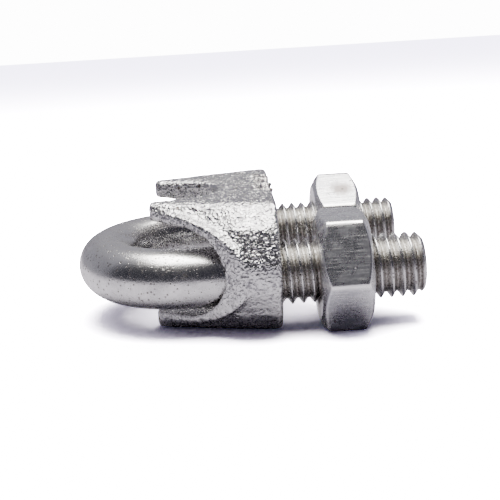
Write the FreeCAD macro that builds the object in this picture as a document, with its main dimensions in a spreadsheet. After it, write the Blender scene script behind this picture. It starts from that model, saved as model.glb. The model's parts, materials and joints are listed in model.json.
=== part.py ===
import FreeCAD, Part
import os
import Sketcher
from FreeCAD import Placement, Rotation, Vector

# Wire rope clip: a U-bolt with two threaded legs, a cast saddle with four horns
# that slides on the legs, and two hexagon nuts. Millimetres and degrees.
# X runs along the legs towards the nuts, Y from leg to leg, Z along the rope.
# The origin is on the axis of the rope seat, at mid height of the saddle.

doc = FreeCAD.newDocument("wire_rope_clip")
sheet = doc.addObject("Spreadsheet::Sheet", "dims")

DIMENSIONS = [
    # U-bolt: lengths along the legs start at the centre of the bow
    ("leg_spacing", 15.4), ("rod_diameter", 5.5), ("bow_centre", 0.65),
    ("bolt_drop", 0.8), ("leg_length", 21.5),
    # screw thread, right-handed; the flats are measured along the axis
    ("thread_pitch", 1.0), ("thread_outer", 5.9), ("thread_root", 4.84),
    ("thread_start", 6.9), ("thread_rise", 0.3), ("thread_lead", 0.8),
    ("root_flat", 0.16), ("crest_flat", 0.2), ("end_chamfer", 0.55), ("thread_gap", 0.06),
    # nuts: each face is the one towards the saddle, each turn that of the hexagon
    ("nut_flats", 10.1), ("nut_height", 4.6), ("nut_mouth", 6.3), ("face_circle", 9.15),
    ("front_nut_face", 11.95), ("back_nut_face", 13.25),
    ("front_nut_turn", 30.0), ("back_nut_turn", 54.5),
    # saddle: reaches are half widths from leg to leg, heights are above mid height
    ("saddle_back", 9.25), ("saddle_length", 11.5), ("half_height", 5.9),
    ("side_reach", 12.3), ("ridge_reach", 12.75), ("shoulder_reach", 11.0),
    ("shoulder_height", 4.0), ("end_reach", 8.8),
    ("flank_run", 7.8), ("flank_shoulder_reach", 10.7), ("flank_end_reach", 8.0),
    ("tip_reach", 6.0), ("tip_ridge_reach", 6.4),
    ("arch_depth", 6.35), ("arch_half_width", 4.2), ("rim_width", 2.3), ("rim_rise", 1.2),
    ("hole_width", 6.7), ("hole_height", 8.1),
    # rope seat: round floor, mouth slightly wider than the floor
    ("rope_radius", 4.0), ("mouth_reach", 4.7),
    # how far a cutting tool stands past the surface it cuts
    ("cut_margin", 1.0), ("thread_cut_margin", 0.1),
]
for row, (alias, value) in enumerate(DIMENSIONS, start=1):
    sheet.set("A%d" % row, alias.replace("_", " "))
    sheet.set("B%d" % row, str(value))
    sheet.setAlias("B%d" % row, alias)
doc.recompute()

ALONG_LEGS = Rotation(Vector(0, 1, 0), 90)      # local Z onto X
ACROSS_LEGS = Rotation(Vector(1, 0, 0), 90)     # local Z onto -Y
FACING_LEGS = Rotation(Vector(1, 1, 1), 120)    # local X, Y, Z onto Y, Z, X
SIDES = (("front", "-"), ("back", ""))


def named(kind, name, **expressions):
    """New object whose properties follow the sheet."""
    thing = doc.addObject(kind, name)
    for prop, text in expressions.items():
        thing.setExpression(prop, text)
    return thing


def placed(thing, x="0", y="0", z="0", rotation=None):
    """Put an object at coordinates that follow the sheet."""
    if rotation is not None:
        thing.Placement = Placement(Vector(0, 0, 0), rotation)
    for axis, text in (("x", x), ("y", y), ("z", z)):
        if text != "0":
            thing.setExpression("Placement.Base." + axis, text)
    return thing


def draw(sketch, corners):
    """Closed polygon in a sketch; every corner coordinate follows the sheet."""
    first, count = sketch.GeometryCount, len(corners)
    rough = [Vector(3.0 * i + 1, 2.0 + i * i, 0) for i in range(count)]
    for i in range(count):
        sketch.addGeometry(Part.LineSegment(rough[i], rough[(i + 1) % count]), False)
    for i in range(count):
        here, following = first + i, first + (i + 1) % count
        sketch.addConstraint(Sketcher.Constraint("Coincident", here, 2, following, 1))
    for i, corner in enumerate(corners):
        for kind, text, value in zip(("DistanceX", "DistanceY"), corner, rough[i]):
            at = sketch.addConstraint(Sketcher.Constraint(kind, -1, 1, first + i, 1, value))
            sketch.setExpression("Constraints[%d]" % at, text)
    return sketch


def outline(name, corners, rotation=None):
    sketch = draw(doc.addObject("Sketcher::SketchObject", name), corners)
    if rotation is not None:
        sketch.Placement = Placement(Vector(0, 0, 0), rotation)
    return sketch


def extruded(name, base, direction, length):
    bar = doc.addObject("Part::Extrusion", name)
    bar.Base, bar.DirMode, bar.Dir, bar.Solid = base, "Custom", direction, True
    bar.setExpression("LengthFwd", length)
    return bar


def joined(kind, name, shapes):
    thing = doc.addObject(kind, name)
    thing.Shapes = shapes
    return thing


# ---------------------------------------------------------------- turned and threaded pieces
def origin_plane(body, role):
    return next(item for item in body.Origin.OriginFeatures if item.Role == role)


def half_section(body, name, *polygons):
    """Sketch in the body's XZ plane: radius across, distance along the axis up."""
    sketch = body.newObject("Sketcher::SketchObject", name)
    sketch.AttachmentSupport = [(origin_plane(body, "XZ_Plane"), "")]
    sketch.MapMode = "FlatFace"
    for corners in polygons:
        draw(sketch, corners)
    return sketch


def spun(body, kind, sketch):
    feature = body.newObject(kind, sketch.Name + "_turned")
    feature.Profile = sketch
    feature.ReferenceAxis = (origin_plane(body, "Z_Axis"), [""])
    feature.Angle = 360
    return feature


def thread_groove(body, name, centre, root, mouth, root_flat, mouth_flat, height):
    """Cut a right-handed helical groove of trapezoid section round the body's axis."""
    section = half_section(body, name + "_section", [
        (root, "%s - (%s) / 2" % (centre, root_flat)),
        (mouth, "%s - (%s) / 2" % (centre, mouth_flat)),
        (mouth, "%s + (%s) / 2" % (centre, mouth_flat)),
        (root, "%s + (%s) / 2" % (centre, root_flat))])
    groove = body.newObject("PartDesign::SubtractiveHelix", name)
    groove.Profile = section
    groove.ReferenceAxis = (origin_plane(body, "Z_Axis"), [""])
    groove.Mode = "pitch-height-angle"
    groove.setExpression("Pitch", "dims.thread_pitch")
    groove.setExpression("Height", height)
    return groove


# ---------------------------------------------------------------- U-bolt
FLANK = "((dims.thread_pitch - dims.crest_flat - dims.root_flat)" \
        " / (dims.thread_outer - dims.thread_root))"
bow = named("Part::Torus", "bow", Radius1="dims.leg_spacing / 2", Radius2="dims.rod_diameter / 2")
bow.Angle3 = 180
bow.Placement = Placement(Vector(0, 0, 0), Rotation(Vector(0, 0, 1), 90))
bolt_pieces = [bow]
for side, sign in SIDES:
    leg_y = sign + "dims.leg_spacing / 2"
    shank = named("Part::Cylinder", side + "_shank", Radius="dims.rod_diameter / 2",
                  Height="dims.thread_start + dims.thread_rise")
    placed(shank, y=leg_y, rotation=ALONG_LEGS)
    leg = doc.addObject("PartDesign::Body", side + "_threaded_leg")
    # the thread rises from the thinner shank, and its end is chamfered
    spun(leg, "PartDesign::Revolution", half_section(leg, side + "_leg_section", [
        ("0", "dims.thread_start"),
        ("dims.thread_outer / 2 - dims.thread_rise", "dims.thread_start"),
        ("dims.thread_outer / 2", "dims.thread_start + dims.thread_rise"),
        ("dims.thread_outer / 2", "dims.leg_length - dims.end_chamfer"),
        ("dims.thread_outer / 2 - dims.end_chamfer", "dims.leg_length"),
        ("0", "dims.leg_length")]))
    thread_groove(leg, side + "_thread", "dims.thread_start - dims.thread_lead",
                  "dims.thread_root / 2", "dims.thread_outer / 2 + dims.thread_cut_margin",
                  "dims.root_flat",
                  "dims.thread_pitch - dims.crest_flat + 2 * dims.thread_cut_margin * " + FLANK,
                  "dims.leg_length - dims.thread_start + 2 * dims.thread_pitch")
    placed(leg, y=leg_y, rotation=ALONG_LEGS)
    bolt_pieces += [shank, leg]
u_bolt = joined("Part::MultiFuse", "u_bolt", bolt_pieces)
placed(u_bolt, x="dims.bow_centre", z="-dims.bolt_drop")

# ---------------------------------------------------------------- nuts
CORNER = "(dims.nut_flats / 2 / cos(30))"
PAST_CORNER = "(%s + dims.cut_margin)" % CORNER
CORNER_CUT = "((%s - dims.face_circle / 2) * tan(30))" % PAST_CORNER
MOUTH_CUT = "(dims.nut_mouth / 2 - dims.thread_root / 2 - dims.thread_gap)"
nuts = {}
for side, sign in SIDES:
    face = "dims.%s_nut_face" % side
    nut = doc.addObject("PartDesign::Body", side + "_nut")
    hexagon = nut.newObject("PartDesign::AdditivePrism", side + "_hexagon")
    hexagon.Polygon = 6
    hexagon.setExpression("Circumradius", CORNER)
    hexagon.setExpression("Height", "dims.nut_height")
    # the hexagon turns about its own axis, by the angle in the sheet
    hexagon.Placement = Placement(Vector(0, 0, 0), Rotation(Vector(0, 0, 1), 10))
    hexagon.setExpression("Placement.Rotation.Angle", "dims.%s_nut_turn * 1 deg" % side)
    # both faces are chamfered, which leaves an arc on each of the six sides
    spun(nut, "PartDesign::Groove", half_section(
        nut, side + "_corner_cut",
        [("dims.face_circle / 2", "0"), (PAST_CORNER, "0"), (PAST_CORNER, CORNER_CUT)],
        [("dims.face_circle / 2", "dims.nut_height"), (PAST_CORNER, "dims.nut_height"),
         (PAST_CORNER, "dims.nut_height - " + CORNER_CUT)]))
    spun(nut, "PartDesign::Groove", half_section(nut, side + "_bore", [
        ("0", "0"), ("dims.nut_mouth / 2", "0"),
        ("dims.thread_root / 2 + dims.thread_gap", MOUTH_CUT),
        ("dims.thread_root / 2 + dims.thread_gap", "dims.nut_height - " + MOUTH_CUT),
        ("dims.nut_mouth / 2", "dims.nut_height"), ("0", "dims.nut_height")]))
    # the groove in the nut runs where the leg has its crest
    thread_groove(nut, side + "_nut_thread",
                  "mod(dims.thread_start - dims.thread_lead + dims.thread_pitch / 2 - %s;"
                  " dims.thread_pitch) - 2 * dims.thread_pitch" % face,
                  "dims.thread_outer / 2 + dims.thread_gap",
                  "dims.thread_root / 2 + dims.thread_gap - dims.thread_cut_margin",
                  "dims.crest_flat + dims.thread_gap",
                  "dims.thread_pitch - dims.root_flat + dims.thread_gap"
                  " + 2 * (dims.thread_cut_margin - dims.thread_gap) * " + FLANK,
                  "dims.nut_height + 4 * dims.thread_pitch")
    placed(nut, x="dims.bow_centre + " + face, y=sign + "dims.leg_spacing / 2",
           z="-dims.bolt_drop", rotation=ALONG_LEGS)
    nuts[side] = nut

# ---------------------------------------------------------------- saddle
HORN_TIPS = "dims.saddle_back - dims.saddle_length"
FLANKS = HORN_TIPS + " + dims.flank_run"
PAST_END = "dims.half_height + dims.cut_margin"


def body_outline(name, ridge, shoulder, end, at):
    """Outline from leg to leg: a ridge at mid height, shoulders, and narrower ends."""
    quarter = [(ridge, "0"), (shoulder, "dims.shoulder_height"), (end, "dims.half_height"),
               (end, PAST_END)]
    left = [("0 - (%s)" % u, v) for u, v in reversed(quarter)]
    lower_left = [("0 - (%s)" % u, "0 - (%s)" % v) for u, v in quarter[1:]]
    lower_right = [(u, "0 - (%s)" % v) for u, v in reversed(quarter[1:])]
    return placed(outline(name, quarter + left + lower_left + lower_right, FACING_LEGS), x=at)


def across(name, reaches):
    """Bar of the given plan outline, from the front edge round to the back, cut at both ends."""
    front = [(x, "0 - (%s)" % y) for x, y in reversed(reaches)]
    plan = placed(outline(name + "_outline", reaches + front), z="0 - dims.half_height")
    return extruded(name, plan, Vector(0, 0, 1), "2 * dims.half_height")


def elliptic_bar(name, depth, half_width, x, y, facing, direction, length):
    """Elliptic bar whose ellipse lies at x, y and is depth by half_width, in half axes."""
    ring = named("Part::Ellipse", name + "_ring", MajorRadius=depth, MinorRadius=half_width)
    return extruded(name, placed(ring, x=x, y=y, rotation=facing), direction, length)


sections = [
    body_outline("nut_side_outline", "dims.ridge_reach", "dims.shoulder_reach",
                 "dims.end_reach", "dims.saddle_back"),
    body_outline("flank_outline", "dims.ridge_reach", "dims.flank_shoulder_reach",
                 "dims.flank_end_reach", FLANKS),
    body_outline("horn_outline", "dims.tip_ridge_reach", "dims.tip_reach", "dims.tip_reach",
                 HORN_TIPS)]
block = doc.addObject("Part::Loft", "saddle_block")
block.Sections, block.Solid, block.Ruled = sections, True, True

# a flat rim follows the arch on both sides; the plan cuts the rim and the ridge flush, draws
# in to the horn tips, and leaves both ends flat
rim_bar = elliptic_bar("rim_bar", "dims.arch_depth + dims.rim_width",
                       "dims.arch_half_width + dims.rim_rise", HORN_TIPS, "dims.side_reach",
                       ACROSS_LEGS, Vector(0, -1, 0), "2 * dims.side_reach")
rough_casting = joined("Part::MultiFuse", "rough_casting", [block, rim_bar])
plan_block = across("plan_block", [("dims.saddle_back", "dims.side_reach"),
                                   (FLANKS, "dims.side_reach"), (HORN_TIPS, "dims.tip_reach")])
casting = joined("Part::MultiCommon", "casting", [rough_casting, plan_block])

# the arch lets the legs through, a little deeper than the rope seat that it crosses, and the
# legs have loose oval holes
PAST_SIDE = "dims.side_reach + dims.cut_margin"
arch = elliptic_bar("arch", "dims.arch_depth", "dims.arch_half_width", HORN_TIPS, PAST_SIDE,
                    ACROSS_LEGS, Vector(0, -1, 0), "2 * (%s)" % PAST_SIDE)
rope_seat = named("Part::Cylinder", "rope_seat", Radius="dims.rope_radius",
                  Height="2 * (%s)" % PAST_END)
placed(rope_seat, z="0 - (%s)" % PAST_END)
PAST_TIPS = HORN_TIPS + " - dims.cut_margin"
mouth = across("seat_mouth", [("0", "dims.rope_radius"), (PAST_TIPS, "dims.mouth_reach")])
openings = [arch, rope_seat, mouth]
for side, sign in SIDES:
    openings.append(elliptic_bar(
        side + "_leg_hole", "dims.hole_height / 2", "dims.hole_width / 2", HORN_TIPS,
        sign + "dims.leg_spacing / 2", ALONG_LEGS, Vector(1, 0, 0), "2 * dims.saddle_length"))
hollow = joined("Part::MultiFuse", "saddle_openings", openings)
saddle = doc.addObject("Part::Cut", "saddle")
saddle.Base, saddle.Tool = casting, hollow

# ---------------------------------------------------------------- files
PIECES = {"u_bolt": u_bolt, "saddle": saddle, "front_nut": nuts["front"],
          "back_nut": nuts["back"]}
for label, thing in PIECES.items():
    thing.Label = label
doc.recompute()
for thing in doc.Objects:
    if "Invalid" in thing.State or "Error" in thing.State:
        raise RuntimeError("%s: %s" % (thing.Name, thing.State))
os.makedirs("parts", exist_ok=True)
for label, thing in PIECES.items():
    shape = thing.Shape
    if shape.isNull() or not shape.isValid() or len(shape.Solids) != 1:
        raise RuntimeError("%s: bad shape, %d solids" % (label, len(shape.Solids)))
    shape.exportStep("parts/%s.step" % label)
    box = shape.BoundBox
    print("%-10s volume %8.2f  x %6.2f %6.2f  y %6.2f %6.2f  z %6.2f %6.2f  faces %d" % (
        label, shape.Volume, box.XMin, box.XMax, box.YMin, box.YMax, box.ZMin, box.ZMax,
        len(shape.Faces)))
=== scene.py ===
import json
import math

import bmesh
import bpy
from mathutils import Matrix, Vector


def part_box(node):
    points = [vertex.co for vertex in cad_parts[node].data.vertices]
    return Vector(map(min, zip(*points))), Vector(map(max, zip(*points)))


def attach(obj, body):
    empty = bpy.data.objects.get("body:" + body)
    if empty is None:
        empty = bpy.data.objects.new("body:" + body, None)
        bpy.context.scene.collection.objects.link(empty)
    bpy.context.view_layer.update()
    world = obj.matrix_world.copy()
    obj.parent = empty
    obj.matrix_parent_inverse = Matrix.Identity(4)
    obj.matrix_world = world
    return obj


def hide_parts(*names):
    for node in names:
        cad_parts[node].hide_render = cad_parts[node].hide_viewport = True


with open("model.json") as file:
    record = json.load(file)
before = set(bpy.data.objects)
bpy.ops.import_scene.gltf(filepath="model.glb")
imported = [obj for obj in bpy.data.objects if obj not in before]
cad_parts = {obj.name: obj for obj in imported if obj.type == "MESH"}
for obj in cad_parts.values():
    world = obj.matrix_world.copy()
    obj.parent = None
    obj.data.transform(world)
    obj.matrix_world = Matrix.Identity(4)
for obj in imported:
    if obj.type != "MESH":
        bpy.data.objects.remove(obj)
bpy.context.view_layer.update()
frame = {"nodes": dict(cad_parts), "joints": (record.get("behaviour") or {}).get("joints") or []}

# ---------------------------------------------------------------- U-bolt
# One round steel rod bent into a U. Its two legs carry a rolled right-handed thread, whose
# crests stand a little above the plain rod. It is zinc plated, satin on the bow, with fine
# dark pits. The thread's grooves are rougher than the rod, with painted shade, dark and warm.
MM = 0.001
leg_joints = {joint["name"]: Vector(joint["pos_m"]) / MM
              for joint in frame["joints"] if "pos_m" in joint}
front_leg, back_leg = leg_joints["front_nut_turn"], leg_joints["back_nut_turn"]
bolt_low, bolt_high = (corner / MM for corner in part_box("u_bolt"))

LEG_SPACING = back_leg.y - front_leg.y
LEG_HEIGHT = front_leg.z
THREAD_DIAMETER = bolt_high.z - bolt_low.z
ROD_DIAMETER = 5.5
BOW_CENTRE = bolt_low.x + (LEG_SPACING + ROD_DIAMETER) / 2
LEG_LENGTH = bolt_high.x - BOW_CENTRE
THREAD_PITCH = 1.0
THREAD_ROOT = 4.84
THREAD_START = 6.9
# the helix begins this far before the thread does
THREAD_LEAD = 0.8
# a crest passes the leg's lower side this far from the bow's centre
THREAD_PHASE = THREAD_START - THREAD_LEAD + THREAD_PITCH / 2
# the thread rises out of the plain rod over this length
THREAD_RISE = 0.9
END_CHAMFER, END_ROUNDING = 0.55, 0.12
# half widths of the rolled crest and root, and how softly they join the flanks
CREST_HALF, ROOT_HALF, ROLLED_SOFT = 0.05, 0.09, 0.22
ROW_STEP = 0.08
ROD_SIDES = 60
# points closer together than this become one
WELD_DISTANCE = 0.001 * MM
# a thread's phase is read at the leg's lower side
QUARTER_TURN = 0.25


class Amount:
    """A number that changes over a surface, so that a node tree reads as a formula."""

    def __init__(self, tree, socket):
        self.tree, self.socket = tree, socket

    def math(self, operation, *others):
        node = self.tree.nodes.new("ShaderNodeMath")
        node.operation = operation
        for place, value in zip(node.inputs, (self, *others)):
            if isinstance(value, Amount):
                value = value.socket
            if isinstance(value, bpy.types.NodeSocket):
                self.tree.links.new(value, place)
            else:
                place.default_value = value
        return Amount(self.tree, node.outputs[0])

    def __add__(self, other):
        return self.math("ADD", other)

    def __sub__(self, other):
        return self.math("SUBTRACT", other)

    def __mul__(self, other):
        return self.math("MULTIPLY", other)

    def __truediv__(self, other):
        return self.math("DIVIDE", other)

    def __radd__(self, other):
        return self + other

    def __rsub__(self, other):
        return -self + other

    def __neg__(self):
        return self * -1.0

    def at_least(self, other):
        return self.math("MAXIMUM", other)

    def at_most(self, other):
        return self.math("MINIMUM", other)

    def step_between(self, low, high):
        """0 below low, 1 above high, and an S-curve in between."""
        share = ((self - low) / (high - low)).at_least(0.0).at_most(1.0)
        return share * share * (-(share * 2.0) + 3.0)

    def towards(self, other, share):
        return self + (other - self) * share


def node(tree, kind, inputs=None, **settings):
    """A node with its settings, and its inputs set or joined by name."""
    made = tree.nodes.new(kind)
    for name, value in settings.items():
        setattr(made, name, value)
    for name, value in (inputs or {}).items():
        if isinstance(value, Amount):
            value = value.socket
        if isinstance(value, bpy.types.NodeSocket):
            tree.links.new(value, made.inputs[name])
        else:
            made.inputs[name].default_value = value
    return made


def shape_tree(name, sizes):
    """A geometry tree with a named input for each size and for the material."""
    tree = bpy.data.node_groups.new(name, "GeometryNodeTree")
    tree.interface.new_socket("Geometry", in_out="INPUT", socket_type="NodeSocketGeometry")
    for label in sizes:
        tree.interface.new_socket(label, in_out="INPUT", socket_type="NodeSocketFloat")
    tree.interface.new_socket("Material", in_out="INPUT", socket_type="NodeSocketMaterial")
    tree.interface.new_socket("Geometry", in_out="OUTPUT", socket_type="NodeSocketGeometry")
    inside = tree.nodes.new("NodeGroupInput")
    return tree, inside, [Amount(tree, inside.outputs[label]) for label in sizes]


def surface_grid(tree, length, step, around):
    """A grid with rows along the surface and columns round it, and where each point is."""
    grid = node(tree, "GeometryNodeMeshGrid", {
        "Size X": length, "Size Y": 2 * math.pi, "Vertices X": length / step, "Vertices Y": around})
    place = node(tree, "ShaderNodeSeparateXYZ", {
        "Vector": tree.nodes.new("GeometryNodeInputPosition").outputs[0]})
    return grid.outputs["Mesh"], Amount(tree, place.outputs["X"]), Amount(tree, place.outputs["Y"])


def stored(tree, mesh, name, value):
    keep = node(tree, "GeometryNodeStoreNamedAttribute", {"Geometry": mesh, "Name": name},
                data_type="FLOAT", domain="POINT")
    tree.links.new(value.socket, keep.inputs["Value"])
    return keep.outputs["Geometry"]


def closed_skin(tree, inside, mesh, x, y, z, turned):
    """Moves the grid's points to x, y, z in millimetres, closes its seams and paints it."""
    place = node(tree, "ShaderNodeCombineXYZ", {"X": x * MM, "Y": y * MM, "Z": z * MM})
    skin = node(tree, "GeometryNodeSetPosition", {"Geometry": mesh, "Position": place.outputs[0]})
    skin = node(tree, "GeometryNodeMergeByDistance",
                {"Geometry": skin.outputs[0], "Distance": WELD_DISTANCE})
    if turned:
        skin = node(tree, "GeometryNodeFlipFaces", {"Mesh": skin.outputs[0]})
    finish_tree(tree, inside, skin.outputs[0])


def finish_tree(tree, inside, mesh):
    smooth = node(tree, "GeometryNodeSetShadeSmooth", {"Geometry": mesh})
    whole = node(tree, "GeometryNodeRealizeInstances", {"Geometry": smooth.outputs[0]})
    painted = node(tree, "GeometryNodeSetMaterial", {
        "Geometry": whole.outputs[0], "Material": inside.outputs["Material"]})
    out = tree.nodes.new("NodeGroupOutput")
    tree.links.new(painted.outputs[0], out.inputs[0])


def baked(name, tree, values, material, start=None):
    """The tree's shape as a plain mesh object at the origin."""
    piece = bpy.data.objects.new(name, start or bpy.data.meshes.new(name))
    bpy.context.scene.collection.objects.link(piece)
    modifier = piece.modifiers.new("shape", "NODES")
    modifier.node_group = tree
    ways_in = {item.name: item.identifier for item in tree.interface.items_tree
               if item.in_out == "INPUT"}
    for label, value in {**values, "Material": material}.items():
        modifier[ways_in[label]] = value
    seen = piece.evaluated_get(bpy.context.evaluated_depsgraph_get())
    mesh = bpy.data.meshes.new_from_object(seen)
    piece.modifiers.clear()
    piece.data = mesh
    mesh.name = name
    return piece


def thread_depth(along, around, pitch, phase):
    """0 on the crest and 1 in the root of a right-handed thread, with both rolled round."""
    turns = (along - phase) / pitch - around / (2 * math.pi) - QUARTER_TURN
    beside = 0.5 - (turns.math("FRACT") - 0.5).math("ABSOLUTE")
    flank = (beside - CREST_HALF) / (0.5 - CREST_HALF - ROOT_HALF)
    return flank.math("SMOOTH_MIN", 1.0, ROLLED_SOFT).math("SMOOTH_MAX", 0.0, ROLLED_SOFT)


bolt_tree, bolt_in, bolt_sizes = shape_tree("threaded_u_bolt", [
    "Leg spacing", "Leg height", "Rod diameter", "Bow centre", "Leg length", "Thread diameter",
    "Thread root", "Thread start", "Pitch", "Phase", "End chamfer"])
spacing, height, rod, centre, leg, thread, root, start, pitch, phase, chamfer = bolt_sizes
bow_radius = spacing / 2.0
path_length = leg * 2.0 + bow_radius * math.pi
end_radius = thread / 2.0 - chamfer
grid, along, around = surface_grid(bolt_tree, path_length + end_radius * 2.0, ROW_STEP,
                                   ROD_SIDES + 1)
way = along + path_length / 2.0
on_path = way.at_least(0.0).at_most(path_length)
cap = (way - on_path).math("ABSOLUTE")
on_leg = (-on_path + leg).at_least(0.0) + (on_path - path_length + leg).at_least(0.0)
bend = ((on_path - leg) / bow_radius).at_least(0.0).at_most(math.pi)
side = along.math("SIGN")
turn = around.math("MULTIPLY", side) - side * (math.pi / 2) + math.pi / 2
in_groove = thread_depth(on_leg, turn, pitch, phase)
threaded = on_leg.step_between(start, start + THREAD_RISE)
radius = (rod / 2.0).towards((thread / 2.0).towards(root / 2.0, in_groove), threaded)
# each leg ends in a 45 degree chamfer and a flat face, which the grid's rows close to a point
radius = radius.math("SMOOTH_MIN", end_radius - cap + (leg - on_leg), END_ROUNDING)
radius = radius.at_least(0.0)
outward = radius * around.math("COSINE")
x = centre + on_leg - (bow_radius + outward) * bend.math("SINE")
y = -(bow_radius + outward) * bend.math("COSINE")
z = height + radius * around.math("SINE")
grid = stored(bolt_tree, grid, "groove", in_groove * threaded)
closed_skin(bolt_tree, bolt_in, grid, x, y, z, turned=True)


def paint(name):
    """A new material, its Principled shader, and Object coordinates in millimetres."""
    material = bpy.data.materials.new(name)
    material.use_nodes = True
    tree = material.node_tree
    shader = next(item for item in tree.nodes if item.type == "BSDF_PRINCIPLED")
    place = tree.nodes.new("ShaderNodeTexCoord").outputs["Object"]
    scaled = node(tree, "ShaderNodeVectorMath", {0: place}, operation="SCALE")
    scaled.inputs["Scale"].default_value = 1 / MM
    return material, tree, shader, scaled.outputs[0]


def effect_group(name, numbers, colours, outputs):
    """A shader group whose inputs are numbers and colours, after the place on the piece."""
    tree = bpy.data.node_groups.new(name, "ShaderNodeTree")
    tree.interface.new_socket("Place", in_out="INPUT", socket_type="NodeSocketVector")
    for label in numbers:
        tree.interface.new_socket(label, in_out="INPUT", socket_type="NodeSocketFloat")
    for label in colours:
        tree.interface.new_socket(label, in_out="INPUT", socket_type="NodeSocketColor")
    for label, kind in outputs.items():
        tree.interface.new_socket(label, in_out="OUTPUT", socket_type="NodeSocket" + kind)
    inside, out = tree.nodes.new("NodeGroupInput"), tree.nodes.new("NodeGroupOutput")
    return tree, inside, out


def mixed(tree, share, first, second, blend="MIX"):
    mix = node(tree, "ShaderNodeMix", data_type="RGBA", blend_type=blend)
    for place, value in ((0, share), (6, first), (7, second)):
        if isinstance(value, Amount):
            value = value.socket
        if isinstance(value, bpy.types.NodeSocket):
            tree.links.new(value, mix.inputs[place])
        else:
            mix.inputs[place].default_value = value
    return mix.outputs[2]


def used(tree, group, place, values):
    return node(tree, "ShaderNodeGroup", {"Place": place, **values}, node_tree=group)


# plating: a cloudy zinc skin, from light to dark, with a fine grain in its gloss and height.
# The grain takes the share of each that the clouds leave.
CLOUDS_IN_TONE, CLOUDS_IN_GLOSS, CLOUDS_IN_HEIGHT = 0.65, 0.6, 0.3
plating, inside, out = effect_group(
    "zinc_plating", ["Cloud size", "Grain size", "Smooth", "Rough"], ["Light", "Dark"],
    {"Colour": "Color", "Roughness": "Float", "Height": "Float"})
cloud = node(plating, "ShaderNodeTexNoise", {
    "Vector": inside.outputs["Place"],
    "Scale": Amount(plating, inside.outputs["Cloud size"]).math("POWER", -1.0),
    "Detail": 5.0, "Roughness": 0.62, "Distortion": 0.4})
grain = node(plating, "ShaderNodeTexNoise", {
    "Vector": inside.outputs["Place"],
    "Scale": Amount(plating, inside.outputs["Grain size"]).math("POWER", -1.0),
    "Detail": 3.0, "Roughness": 0.6})
cloudy = Amount(plating, cloud.outputs[0]).step_between(0.32, 0.68)
grainy = Amount(plating, grain.outputs[0]).step_between(0.25, 0.75)
tone = cloudy * CLOUDS_IN_TONE + grainy * (1 - CLOUDS_IN_TONE)
plating.links.new(mixed(plating, tone, inside.outputs["Dark"], inside.outputs["Light"]),
                  out.inputs["Colour"])
smooth = Amount(plating, inside.outputs["Smooth"])
rough = Amount(plating, inside.outputs["Rough"])
gloss = cloudy * CLOUDS_IN_GLOSS + grainy * (1 - CLOUDS_IN_GLOSS)
plating.links.new(rough.towards(smooth, gloss).socket, out.inputs["Roughness"])
raised = grainy * (1 - CLOUDS_IN_HEIGHT) + cloudy * CLOUDS_IN_HEIGHT
plating.links.new(raised.socket, out.inputs["Height"])

# pits: small dark pinholes in the plating, one in some cells of a pattern
SMALLEST_PIT, RAGGED_EDGE, PIT_WALL = 0.4, 0.3, 2.5
pitting, inside, out = effect_group("dark_pits", ["Spacing", "Size", "Share"], [],
                                    {"Mask": "Float"})
cells = node(pitting, "ShaderNodeTexVoronoi", {
    "Vector": inside.outputs["Place"],
    "Scale": Amount(pitting, inside.outputs["Spacing"]).math("POWER", -1.0),
    "Randomness": 1.0})
lot = node(pitting, "ShaderNodeSeparateColor", {"Color": cells.outputs["Color"]})
chosen = Amount(pitting, lot.outputs[0]).math(
    "LESS_THAN", Amount(pitting, inside.outputs["Share"]))
own_size = Amount(pitting, lot.outputs[1]) + SMALLEST_PIT
own_size = Amount(pitting, inside.outputs["Size"]) * own_size
edge = node(pitting, "ShaderNodeTexNoise", {
    "Vector": inside.outputs["Place"], "Scale": 9.0, "Detail": 2.0})
ragged = (Amount(pitting, edge.outputs[0]) - 0.5) * RAGGED_EDGE
distance = Amount(pitting, cells.outputs["Distance"]) + ragged
hole = (own_size - distance) / own_size
pitting.links.new((hole.at_least(0.0) * PIT_WALL).at_most(1.0).math("MULTIPLY", chosen).socket,
                  out.inputs["Mask"])

ROD_LIGHT, ROD_DARK = (0.76, 0.755, 0.745, 1), (0.50, 0.495, 0.50, 1)
PIT_COLOUR = (0.13, 0.115, 0.11, 1)
# painted shade: the dark, warm colour of the thread's grooves
GROOVE_SHADE_COLOUR = (0.20, 0.18, 0.15, 1)
bolt_zinc, tree, shader, place = paint("bolt_zinc")
skin = used(tree, plating, place, {"Cloud size": 2.0, "Grain size": 0.16, "Smooth": 0.18,
                                   "Rough": 0.32, "Light": ROD_LIGHT, "Dark": ROD_DARK})
specks = used(tree, pitting, place, {"Spacing": 0.3, "Size": 0.36, "Share": 0.55})
pits = used(tree, pitting, place, {"Spacing": 1.5, "Size": 0.14, "Share": 0.4})
groove = node(tree, "ShaderNodeAttribute", attribute_name="groove")
deep = Amount(tree, groove.outputs["Fac"])
grit = node(tree, "ShaderNodeTexNoise", {"Vector": place, "Scale": 6.0, "Detail": 4.0,
                                         "Roughness": 0.75})
gritty = Amount(tree, grit.outputs[0]).step_between(0.36, 0.64)
# painted shade in the thread's grooves, mottled by the noise
groove_shade = (deep * (gritty * 0.65 + 0.35)).at_most(1.0)
pit_mask = (Amount(tree, specks.outputs["Mask"]) * 0.8 + pits.outputs["Mask"]).at_most(1.0)
colour = mixed(tree, groove_shade, skin.outputs["Colour"], GROOVE_SHADE_COLOUR)
colour = mixed(tree, pit_mask, colour, PIT_COLOUR)
tree.links.new(colour, shader.inputs["Base Color"])
tree.links.new((Amount(tree, skin.outputs["Roughness"]) + groove_shade * 0.1 + pit_mask * 0.2).socket,
               shader.inputs["Roughness"])
shader.inputs["Metallic"].default_value = 1.0
height_map = Amount(tree, skin.outputs["Height"]) * 0.5 - pit_mask * 0.9 + gritty * deep * 1.2
bump = node(tree, "ShaderNodeBump", {"Strength": 0.4, "Distance": 0.03 * MM,
                                     "Height": height_map})
tree.links.new(bump.outputs[0], shader.inputs["Normal"])

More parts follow.
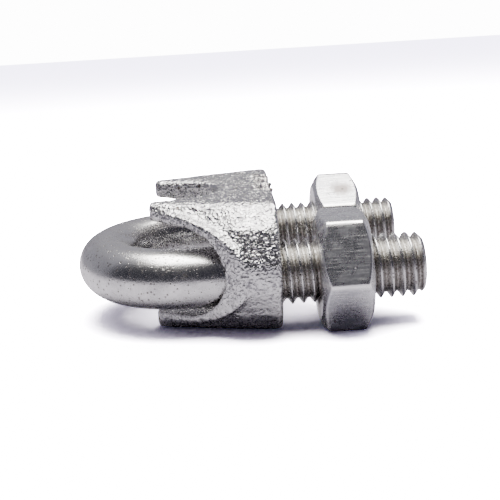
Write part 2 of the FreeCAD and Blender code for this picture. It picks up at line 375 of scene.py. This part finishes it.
u_bolt = baked("threaded_u_bolt", bolt_tree, {
    "Leg spacing": LEG_SPACING, "Leg height": LEG_HEIGHT, "Rod diameter": ROD_DIAMETER,
    "Bow centre": BOW_CENTRE, "Leg length": LEG_LENGTH, "Thread diameter": THREAD_DIAMETER,
    "Thread root": THREAD_ROOT, "Thread start": THREAD_START, "Pitch": THREAD_PITCH,
    "Phase": THREAD_PHASE, "End chamfer": END_CHAMFER}, bolt_zinc)
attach(u_bolt, "u_bolt")
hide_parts("u_bolt")

# ---------------------------------------------------------------- nuts
# Two hexagon nuts, cold forged and tapped, and zinc plated after that. Each end is turned to
# a round face, which leaves an arc on every flat. A spanner has left fine scratches, and the
# corners of the sides are painted light, partly as wear and partly as painted highlight.
nut_low, nut_high = (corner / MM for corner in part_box("front_nut"))
NUT_HEIGHT = nut_high.x - nut_low.x
NUT_FLATS = 10.1
FACE_CIRCLE = 9.15
NUT_MOUTH = 6.3
THREAD_GAP = 0.06
CHAMFER_ANGLE = 60
# the corners are worn to this much of the width across flats, measured from the axis
WORN_CORNER = 0.572
EDGE_ROUNDING, MOUTH_ROUNDING = 0.2, 0.15
# each end face takes this share of its circle's width on the way round the section
FACE_SHARE = 0.22
# how steeply the wear of the corners fades from the sides over the end faces
WEAR_FADE = 12.0
NUT_STEP = 0.085
NUT_SIDES = 180
# each nut's leg, and how far one of its corners is turned from straight down, in degrees
NUTS = {"front_nut": (front_leg, 30.0), "back_nut": (back_leg, 54.5)}
STRAIGHT_DOWN = -90

nut_tree, nut_in, nut_sizes = shape_tree("hexagon_nut", [
    "Face", "Leg", "Leg height", "Bow centre", "Height", "Flats", "Face circle", "Mouth",
    "Thread diameter", "Thread root", "Gap", "Pitch", "Phase", "Turn", "Rounding"])
(face, leg_y, leg_z, centre, nut_height, flats, circle, mouth, thread, root, gap, pitch, phase,
 turn, rounding) = nut_sizes
half_height = nut_height / 2.0
ring = circle * FACE_SHARE
girth = nut_height * 2.0 + ring * 2.0
grid, along, around = surface_grid(nut_tree, girth, NUT_STEP, NUT_SIDES + 1)
# round the section: up the bore, out over the far face, down the side and back to the bore
way = along + girth / 2.0
in_bore = way.at_most(nut_height)
on_far_face = ((way - nut_height) / ring).at_least(0.0).at_most(1.0)
on_side = (way - nut_height - ring).at_least(0.0).at_most(nut_height)
on_near_face = ((way - nut_height * 2.0 - ring) / ring).at_least(0.0).at_most(1.0)
x = in_bore - on_side
from_end = -(x - half_height).math("ABSOLUTE") + half_height
angle = around + turn
depth = thread_depth(face + x, angle, pitch, phase)
bore = (thread / 2.0).towards(root / 2.0, depth) + gap
bore = bore.math("SMOOTH_MAX", mouth / 2.0 - from_end, MOUTH_ROUNDING)
sixth = math.pi / 3
corner = ((around / sixth).math("FRACT") - 0.5) * sixth
hexagon = flats / 2.0 / corner.math("COSINE")
chamfer_cone = circle / 2.0 + from_end * math.tan(math.radians(CHAMFER_ANGLE))
outer = hexagon.math("SMOOTH_MIN", flats * WORN_CORNER, rounding)
outer = outer.math("SMOOTH_MIN", chamfer_cone, rounding)
outside = on_far_face - on_near_face
radius = bore.towards(outer, outside)
grid = stored(nut_tree, grid, "groove", depth * (-outside + 1.0))
on_sides = outside.math("POWER", WEAR_FADE)
grid = stored(nut_tree, grid, "edge", (hexagon / (flats / 2.0) - 1.0) * on_sides)
closed_skin(nut_tree, nut_in, grid, centre + face + x, leg_y + radius * angle.math("COSINE"),
            leg_z + radius * angle.math("SINE"), turned=False)

# scratches: thin worn lines, stretched along X
SCRATCH_EDGE = 9.0
scratching, inside, out = effect_group("scratches", ["Fineness", "Stretch", "Share"], [],
                                       {"Mask": "Float", "Height": "Float"})
drawn = node(scratching, "ShaderNodeSeparateXYZ", {"Vector": inside.outputs["Place"]})
shortened = Amount(scratching, drawn.outputs["X"]) / Amount(scratching, inside.outputs["Stretch"])
lines = node(scratching, "ShaderNodeTexNoise", {
    "Vector": node(scratching, "ShaderNodeCombineXYZ", {
        "X": shortened, "Y": drawn.outputs["Y"], "Z": drawn.outputs["Z"]}).outputs[0],
    "Scale": inside.outputs["Fineness"], "Detail": 3.0, "Roughness": 0.65})
limit = 1.0 - Amount(scratching, inside.outputs["Share"])
line = (Amount(scratching, lines.outputs[0]) - limit) * SCRATCH_EDGE
scratching.links.new(line.at_least(0.0).at_most(1.0).socket, out.inputs["Mask"])
scratching.links.new(lines.outputs[0], out.inputs["Height"])

NUT_LIGHT, NUT_DARK = (0.76, 0.76, 0.77, 1), (0.54, 0.545, 0.58, 1)
# light scratches, and a painted highlight on the corners of the sides
SCRATCH_AND_HIGHLIGHT_COLOUR = (0.93, 0.92, 0.90, 1)
# old grease on the back nut's upper front side
STAIN_AT, STAIN_RADIUS = (16.7, 5.6, 3.8), 1.6
STAIN_COLOUR = (0.17, 0.14, 0.13, 1)
STAIN_STRENGTH, STAIN_CORE, STAIN_RAGGED = 0.85, 0.25, 2.4
nut_zinc, tree, shader, place = paint("nut_zinc")
skin = used(tree, plating, place, {"Cloud size": 1.4, "Grain size": 0.16, "Smooth": 0.2,
                                   "Rough": 0.36, "Light": NUT_LIGHT, "Dark": NUT_DARK})
pits = used(tree, pitting, place, {"Spacing": 0.8, "Size": 0.16, "Share": 0.3})
scratch = used(tree, scratching, place, {"Fineness": 5.0, "Stretch": 14.0, "Share": 0.42})
groove = node(tree, "ShaderNodeAttribute", attribute_name="groove")
edge = node(tree, "ShaderNodeAttribute", attribute_name="edge")
deep = Amount(tree, groove.outputs["Fac"])
# the corners of the sides are painted lighter: partly wear, partly a painted highlight
rubbed_and_highlit_edge = Amount(tree, edge.outputs["Fac"]).step_between(0.105, 0.145)
pit_mask = Amount(tree, pits.outputs["Mask"])
worn_and_highlit = (Amount(tree, scratch.outputs["Mask"]) * 0.55 + rubbed_and_highlit_edge * 0.7).at_most(1.0)
apart = node(tree, "ShaderNodeVectorMath", {0: place, 1: STAIN_AT}, operation="DISTANCE")
smear = node(tree, "ShaderNodeTexNoise", {"Vector": place, "Scale": 1.6, "Detail": 4.0,
                                          "Roughness": 0.7})
reach = (Amount(tree, smear.outputs[0]) - 0.5) * STAIN_RAGGED + apart.outputs["Value"]
faded = reach.step_between(STAIN_RADIUS * STAIN_CORE, STAIN_RADIUS)
stain = (1.0 - faded) * STAIN_STRENGTH
colour = mixed(tree, worn_and_highlit, skin.outputs["Colour"], SCRATCH_AND_HIGHLIGHT_COLOUR)
# painted shade in the grooves of the bore's thread
colour = mixed(tree, deep * 0.8, colour, GROOVE_SHADE_COLOUR)
colour = mixed(tree, stain, colour, STAIN_COLOUR)
colour = mixed(tree, pit_mask * 0.8, colour, PIT_COLOUR)
tree.links.new(colour, shader.inputs["Base Color"])
tree.links.new((Amount(tree, skin.outputs["Roughness"]) + deep * 0.1 + pit_mask * 0.2
                + stain * 0.15).socket, shader.inputs["Roughness"])
shader.inputs["Metallic"].default_value = 1.0
height_map = (Amount(tree, skin.outputs["Height"]) * 0.2 - pit_mask * 1.0
              + Amount(tree, scratch.outputs["Height"]) * 1.6)
bump = node(tree, "ShaderNodeBump", {"Strength": 0.45, "Distance": 0.04 * MM,
                                     "Height": height_map})
tree.links.new(bump.outputs[0], shader.inputs["Normal"])

for name, (leg_at, turned) in NUTS.items():
    face_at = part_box(name)[0].x / MM - BOW_CENTRE
    nut = baked("hexagon_" + name, nut_tree, {
        "Face": face_at, "Leg": leg_at.y, "Leg height": leg_at.z, "Bow centre": BOW_CENTRE,
        "Height": NUT_HEIGHT, "Flats": NUT_FLATS, "Face circle": FACE_CIRCLE,
        "Mouth": NUT_MOUTH, "Thread diameter": THREAD_DIAMETER, "Thread root": THREAD_ROOT,
        "Gap": THREAD_GAP, "Pitch": THREAD_PITCH, "Phase": THREAD_PHASE,
        "Turn": math.radians(turned + STRAIGHT_DOWN), "Rounding": EDGE_ROUNDING}, nut_zinc)
    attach(nut, name)
    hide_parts(name)

# ---------------------------------------------------------------- saddle
# A malleable iron casting with a rope seat between its four horns and two loose holes for the
# legs. It keeps the sand mould's orange-peel skin and soft edges, has a rough spot where the
# gate was broken off, and was dipped in molten zinc.
SKIN_VOXEL = 0.15
SOFT_PASSES, SOFT_FACTOR = 60, 0.5
CAST_GRAIN, CAST_GRAIN_HEIGHT = 0.42, 0.06
CAST_SWELL, CAST_SWELL_HEIGHT = 2.4, 0.04
PEEL_SIZE, PEEL_HEIGHT = 0.26, 0.065
COARSE_FROM_TO, FINE_SHARE = (-4.0, 0.5), 0.4
# the gate was broken off the upper end face, next to the nuts
GATE_X, GATE_Y, GATE_Z, GATE_EDGE = (7.2, 9.8), (-2.8, 5.4), 5.0, 0.6
GATE_GRAIN, GATE_HEIGHT = 0.6, 0.85
# noise below this goes into the metal and noise above it stands out
GATE_LEVEL = 0.55

casting = bpy.data.meshes.new("cast_saddle")
shell = bmesh.new()
shell.from_mesh(frame["nodes"]["saddle"].data)
bmesh.ops.remove_doubles(shell, verts=shell.verts, dist=WELD_DISTANCE)
shell.to_mesh(casting)
shell.free()
blank = bpy.data.objects.new("saddle_blank", casting)
bpy.context.scene.collection.objects.link(blank)
voxels = blank.modifiers.new("even_mesh", "REMESH")
voxels.mode, voxels.voxel_size = "VOXEL", SKIN_VOXEL * MM
softened = blank.modifiers.new("soft_edges", "SMOOTH")
softened.factor, softened.iterations = SOFT_FACTOR, SOFT_PASSES
seen = blank.evaluated_get(bpy.context.evaluated_depsgraph_get())
casting = bpy.data.meshes.new_from_object(seen)
bpy.data.objects.remove(blank)

cast_tree, cast_in, cast_sizes = shape_tree("cast_skin", [
    "Grain size", "Grain height", "Swell size", "Swell height", "Gate grain", "Gate height"])
grain_size, grain_height, swell_size, swell_height, gate_grain, gate_height = cast_sizes
in_mm = node(cast_tree, "ShaderNodeVectorMath", {
    0: cast_tree.nodes.new("GeometryNodeInputPosition").outputs[0]}, operation="SCALE")
in_mm.inputs["Scale"].default_value = 1 / MM
grains = node(cast_tree, "ShaderNodeTexNoise", {
    "Vector": in_mm.outputs[0], "Scale": grain_size.math("POWER", -1.0), "Detail": 1.5,
    "Roughness": 0.5})
swells = node(cast_tree, "ShaderNodeTexNoise", {
    "Vector": in_mm.outputs[0], "Scale": swell_size.math("POWER", -1.0), "Detail": 2.0})
grain_rise = Amount(cast_tree, grains.outputs[0]) - 0.5
swell_rise = Amount(cast_tree, swells.outputs[0]) - 0.5
rise = grain_rise * grain_height * 2.0 + swell_rise * swell_height * 2.0
at = node(cast_tree, "ShaderNodeSeparateXYZ", {"Vector": in_mm.outputs[0]})
gate = Amount(cast_tree, at.outputs["Z"]).step_between(GATE_Z, GATE_Z + GATE_EDGE)
for axis, (low, high) in (("X", GATE_X), ("Y", GATE_Y)):
    along = Amount(cast_tree, at.outputs[axis])
    gate = gate * along.step_between(low, low + GATE_EDGE)
    gate = gate * along.step_between(high, high - GATE_EDGE)
torn = node(cast_tree, "ShaderNodeTexNoise", {
    "Vector": in_mm.outputs[0], "Scale": gate_grain.math("POWER", -1.0), "Detail": 3.0,
    "Roughness": 0.65})
rise = rise + gate * (Amount(cast_tree, torn.outputs[0]) - GATE_LEVEL) * gate_height * 2.0
push = node(cast_tree, "ShaderNodeVectorMath", {
    0: cast_tree.nodes.new("GeometryNodeInputNormal").outputs[0]}, operation="SCALE")
cast_tree.links.new((rise * MM).socket, push.inputs["Scale"])
grown = node(cast_tree, "GeometryNodeSetPosition", {
    "Geometry": cast_in.outputs["Geometry"], "Offset": push.outputs[0]})
cast_skin = stored(cast_tree, grown.outputs[0], "grain", grain_rise)
finish_tree(cast_tree, cast_in, stored(cast_tree, cast_skin, "gate", gate))

CAST_LIGHT, CAST_DARK = (0.78, 0.775, 0.77, 1), (0.50, 0.495, 0.51, 1)
# painted shade in the hollows of the cast skin
HOLLOW_SHADE_COLOUR = (0.16, 0.155, 0.175, 1)
GATE_COLOUR = (0.30, 0.28, 0.27, 1)
cast_zinc, tree, shader, place = paint("cast_zinc")
skin = used(tree, plating, place, {"Cloud size": 0.9, "Grain size": 0.14, "Smooth": 0.16,
                                   "Rough": 0.3, "Light": CAST_LIGHT, "Dark": CAST_DARK})
specks = used(tree, pitting, place, {"Spacing": 0.27, "Size": 0.3, "Share": 0.5})
pits = used(tree, pitting, place, {"Spacing": 1.1, "Size": 0.17, "Share": 0.4})
grain = node(tree, "ShaderNodeAttribute", attribute_name="grain")
peel = node(tree, "ShaderNodeTexNoise", {"Vector": place, "Scale": 1 / PEEL_SIZE,
                                         "Detail": 1.0, "Roughness": 0.4})
peel = Amount(tree, peel.outputs[0]).step_between(0.3, 0.7)
# painted shade: the hollows between the cast grains and the peel's low spots are painted dark
hollow_shade = 1.0 - (Amount(tree, grain.outputs["Fac"]) + peel * 0.3).step_between(-0.1, 0.14)
gate = node(tree, "ShaderNodeAttribute", attribute_name="gate")
pit_mask = (Amount(tree, specks.outputs["Mask"]) * 0.4 + pits.outputs["Mask"]).at_most(1.0)
# the skin is coarser on the upper half than on the lower one, and the painted shade in its hollows
# is stronger there
height_on = Amount(tree, node(tree, "ShaderNodeSeparateXYZ", {"Vector": place}).outputs["Z"])
coarse = height_on.step_between(*COARSE_FROM_TO) * (1.0 - FINE_SHARE) + FINE_SHARE
colour = mixed(tree, hollow_shade * coarse * 0.9, skin.outputs["Colour"], HOLLOW_SHADE_COLOUR)
colour = mixed(tree, Amount(tree, gate.outputs["Fac"]) * 0.6, colour, GATE_COLOUR)
colour = mixed(tree, pit_mask, colour, PIT_COLOUR)
tree.links.new(colour, shader.inputs["Base Color"])
tree.links.new((Amount(tree, skin.outputs["Roughness"]) + hollow_shade * 0.1 + pit_mask * 0.1).socket,
               shader.inputs["Roughness"])
shader.inputs["Metallic"].default_value = 1.0
height_map = peel * coarse + (Amount(tree, skin.outputs["Height"]) - pit_mask) * 0.3
bump = node(tree, "ShaderNodeBump", {"Strength": 0.9, "Distance": PEEL_HEIGHT * MM,
                                     "Height": height_map})
tree.links.new(bump.outputs[0], shader.inputs["Normal"])

saddle = baked("cast_saddle", cast_tree, {
    "Grain size": CAST_GRAIN, "Grain height": CAST_GRAIN_HEIGHT,
    "Swell size": CAST_SWELL, "Swell height": CAST_SWELL_HEIGHT,
    "Gate grain": GATE_GRAIN, "Gate height": GATE_HEIGHT}, cast_zinc, start=casting)
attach(saddle, "saddle")
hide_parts("saddle")

# ---------------------------------------------------------------- floor
# A plain white sheet of matt card, not part of the object. It meets the saddle's lower end under
# the front leg and the back nut's lowest corner, so it is tilted a little from the legs.
FLOOR_SIZE = 4000
FLOOR_COLOUR = (0.50, 0.485, 0.55, 1)
# the open card is painted far brighter for the camera than the light makes it, and a painted
# shadow, darker and purple, fades in where the clip comes close to it
OVEREXPOSED, SHADE_REACH = 44.0, 30
SHADE_COLOUR, SHADE_FROM = (0.9, 0.86, 1.06, 1), 0.25
saddle_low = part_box("saddle")[0] / MM
nut_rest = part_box("back_nut")[0].z / MM
slope = (nut_rest - saddle_low.z) / (back_leg.y - front_leg.y)
half = FLOOR_SIZE / 2
card_mesh = bpy.data.meshes.new("floor")
card_mesh.from_pydata(
    [Vector((x, y, saddle_low.z + slope * (y - front_leg.y))) * MM
     for x, y in ((-half, -half), (half, -half), (half, half), (-half, half))],
    [], [(0, 1, 2, 3)])
floor = bpy.data.objects.new("floor", card_mesh)
bpy.context.scene.collection.objects.link(floor)
card = bpy.data.materials.new("matt_card")
card.use_nodes = True
tree = card.node_tree
tree.nodes.clear()
direct = Amount(tree, tree.nodes.new("ShaderNodeLightPath").outputs["Is Camera Ray"])
openness = node(tree, "ShaderNodeAmbientOcclusion", {"Distance": SHADE_REACH * MM})
openness = Amount(tree, openness.outputs["AO"]).step_between(SHADE_FROM, 1.0)
bright = [OVEREXPOSED * part for part in FLOOR_COLOUR]
# painted shadow: for the camera the card's colour falls from bright to SHADE_COLOUR where the clip
# closes it in
lit = node(tree, "ShaderNodeBsdfDiffuse", {
    "Color": mixed(tree, direct, FLOOR_COLOUR, mixed(tree, openness, SHADE_COLOUR, bright))})
out = tree.nodes.new("ShaderNodeOutputMaterial")
tree.links.new(lit.outputs[0], out.inputs["Surface"])
floor.data.materials.append(card)

# ---------------------------------------------------------------- studio light
# A pale room whose front half is dark from the floor up to a steep angle, which gives the metal
# its dark tones, and one large soft lamp overhead, a little behind the clip.
ROOM_LIGHT, ROOM_DARK = (0.42, 0.41, 0.47, 1), (0.04, 0.04, 0.055, 1)
WHITE = (1, 1, 1, 1)
BACKDROP_STRENGTH = 14.0
LAMP_POWER, LAMP_SIZE, LAMP_COLOUR = 2.2, 0.20, (1.0, 0.975, 0.92)
LAMP_AT, LAMP_AIM = Vector((0.006, 0.03, 0.26)), Vector((0.006, 0, 0))
DARK_FROM, DARK_TO, DARK_EDGE = -1, 66, 5
FRONT_FROM, FRONT_TO = 0.25, -0.15
world = bpy.data.worlds.new("studio")
bpy.context.scene.world = world
world.use_nodes = True
tree = world.node_tree
tree.nodes.clear()
look = node(tree, "ShaderNodeSeparateXYZ", {
    "Vector": tree.nodes.new("ShaderNodeTexCoord").outputs["Generated"]})
rise = Amount(tree, look.outputs["Z"])
start, stop = (math.sin(math.radians(a)) for a in (DARK_FROM, DARK_FROM + DARK_EDGE))
above = rise.step_between(start, stop)
start, stop = (math.sin(math.radians(a)) for a in (DARK_TO, DARK_TO + DARK_EDGE))
below = -rise.step_between(start, stop) + 1.0
in_front = Amount(tree, look.outputs["Y"]).step_between(FRONT_FROM, FRONT_TO)
patch = above * below * in_front
seen_directly = Amount(tree, tree.nodes.new("ShaderNodeLightPath").outputs["Is Camera Ray"])
room = node(tree, "ShaderNodeBackground", {
    "Color": mixed(tree, seen_directly, mixed(tree, patch, ROOM_LIGHT, ROOM_DARK), WHITE),
    "Strength": seen_directly * (BACKDROP_STRENGTH - 1.0) + 1.0})
out = tree.nodes.new("ShaderNodeOutputWorld")
tree.links.new(room.outputs[0], out.inputs[0])

lamp = bpy.data.lights.new("overhead_softbox", "AREA")
lamp.energy, lamp.size, lamp.color = LAMP_POWER, LAMP_SIZE, LAMP_COLOUR
softbox = bpy.data.objects.new("overhead_softbox", lamp)
bpy.context.scene.collection.objects.link(softbox)
softbox.location = LAMP_AT
softbox.rotation_euler = (LAMP_AIM - LAMP_AT).to_track_quat("-Z", "Y").to_euler()

# ---------------------------------------------------------------- camera
# Low in front of the clip, on its centreline, with a short telephoto lens.
LENS, SENSOR_WIDTH = 69.6, 36
CAMERA_AT = Vector((4.5, -91.53, 23.92)) * MM
CAMERA_HEADING, CAMERA_TILT, CAMERA_ROLL = 1.47, 14.99, -3.44
heading, tilt, roll = (math.radians(a) for a in (CAMERA_HEADING, CAMERA_TILT, CAMERA_ROLL))
view_line = Vector((math.sin(heading) * math.cos(tilt), math.cos(heading) * math.cos(tilt),
                    -math.sin(tilt)))
level_right = Vector((math.cos(heading), -math.sin(heading), 0))
level_up = level_right.cross(view_line)
right = level_right * math.cos(roll) + level_up * math.sin(roll)
up = level_up * math.cos(roll) - level_right * math.sin(roll)
lens = bpy.data.cameras.new("camera")
lens.lens, lens.sensor_width = LENS, SENSOR_WIDTH
lens.clip_start, lens.clip_end = 0.001, 10
camera = bpy.data.objects.new("camera", lens)
camera.matrix_world = Matrix.Translation(CAMERA_AT) @ Matrix(
    (right, up, -view_line)).transposed().to_4x4()
bpy.context.scene.collection.objects.link(camera)
bpy.context.scene.camera = camera
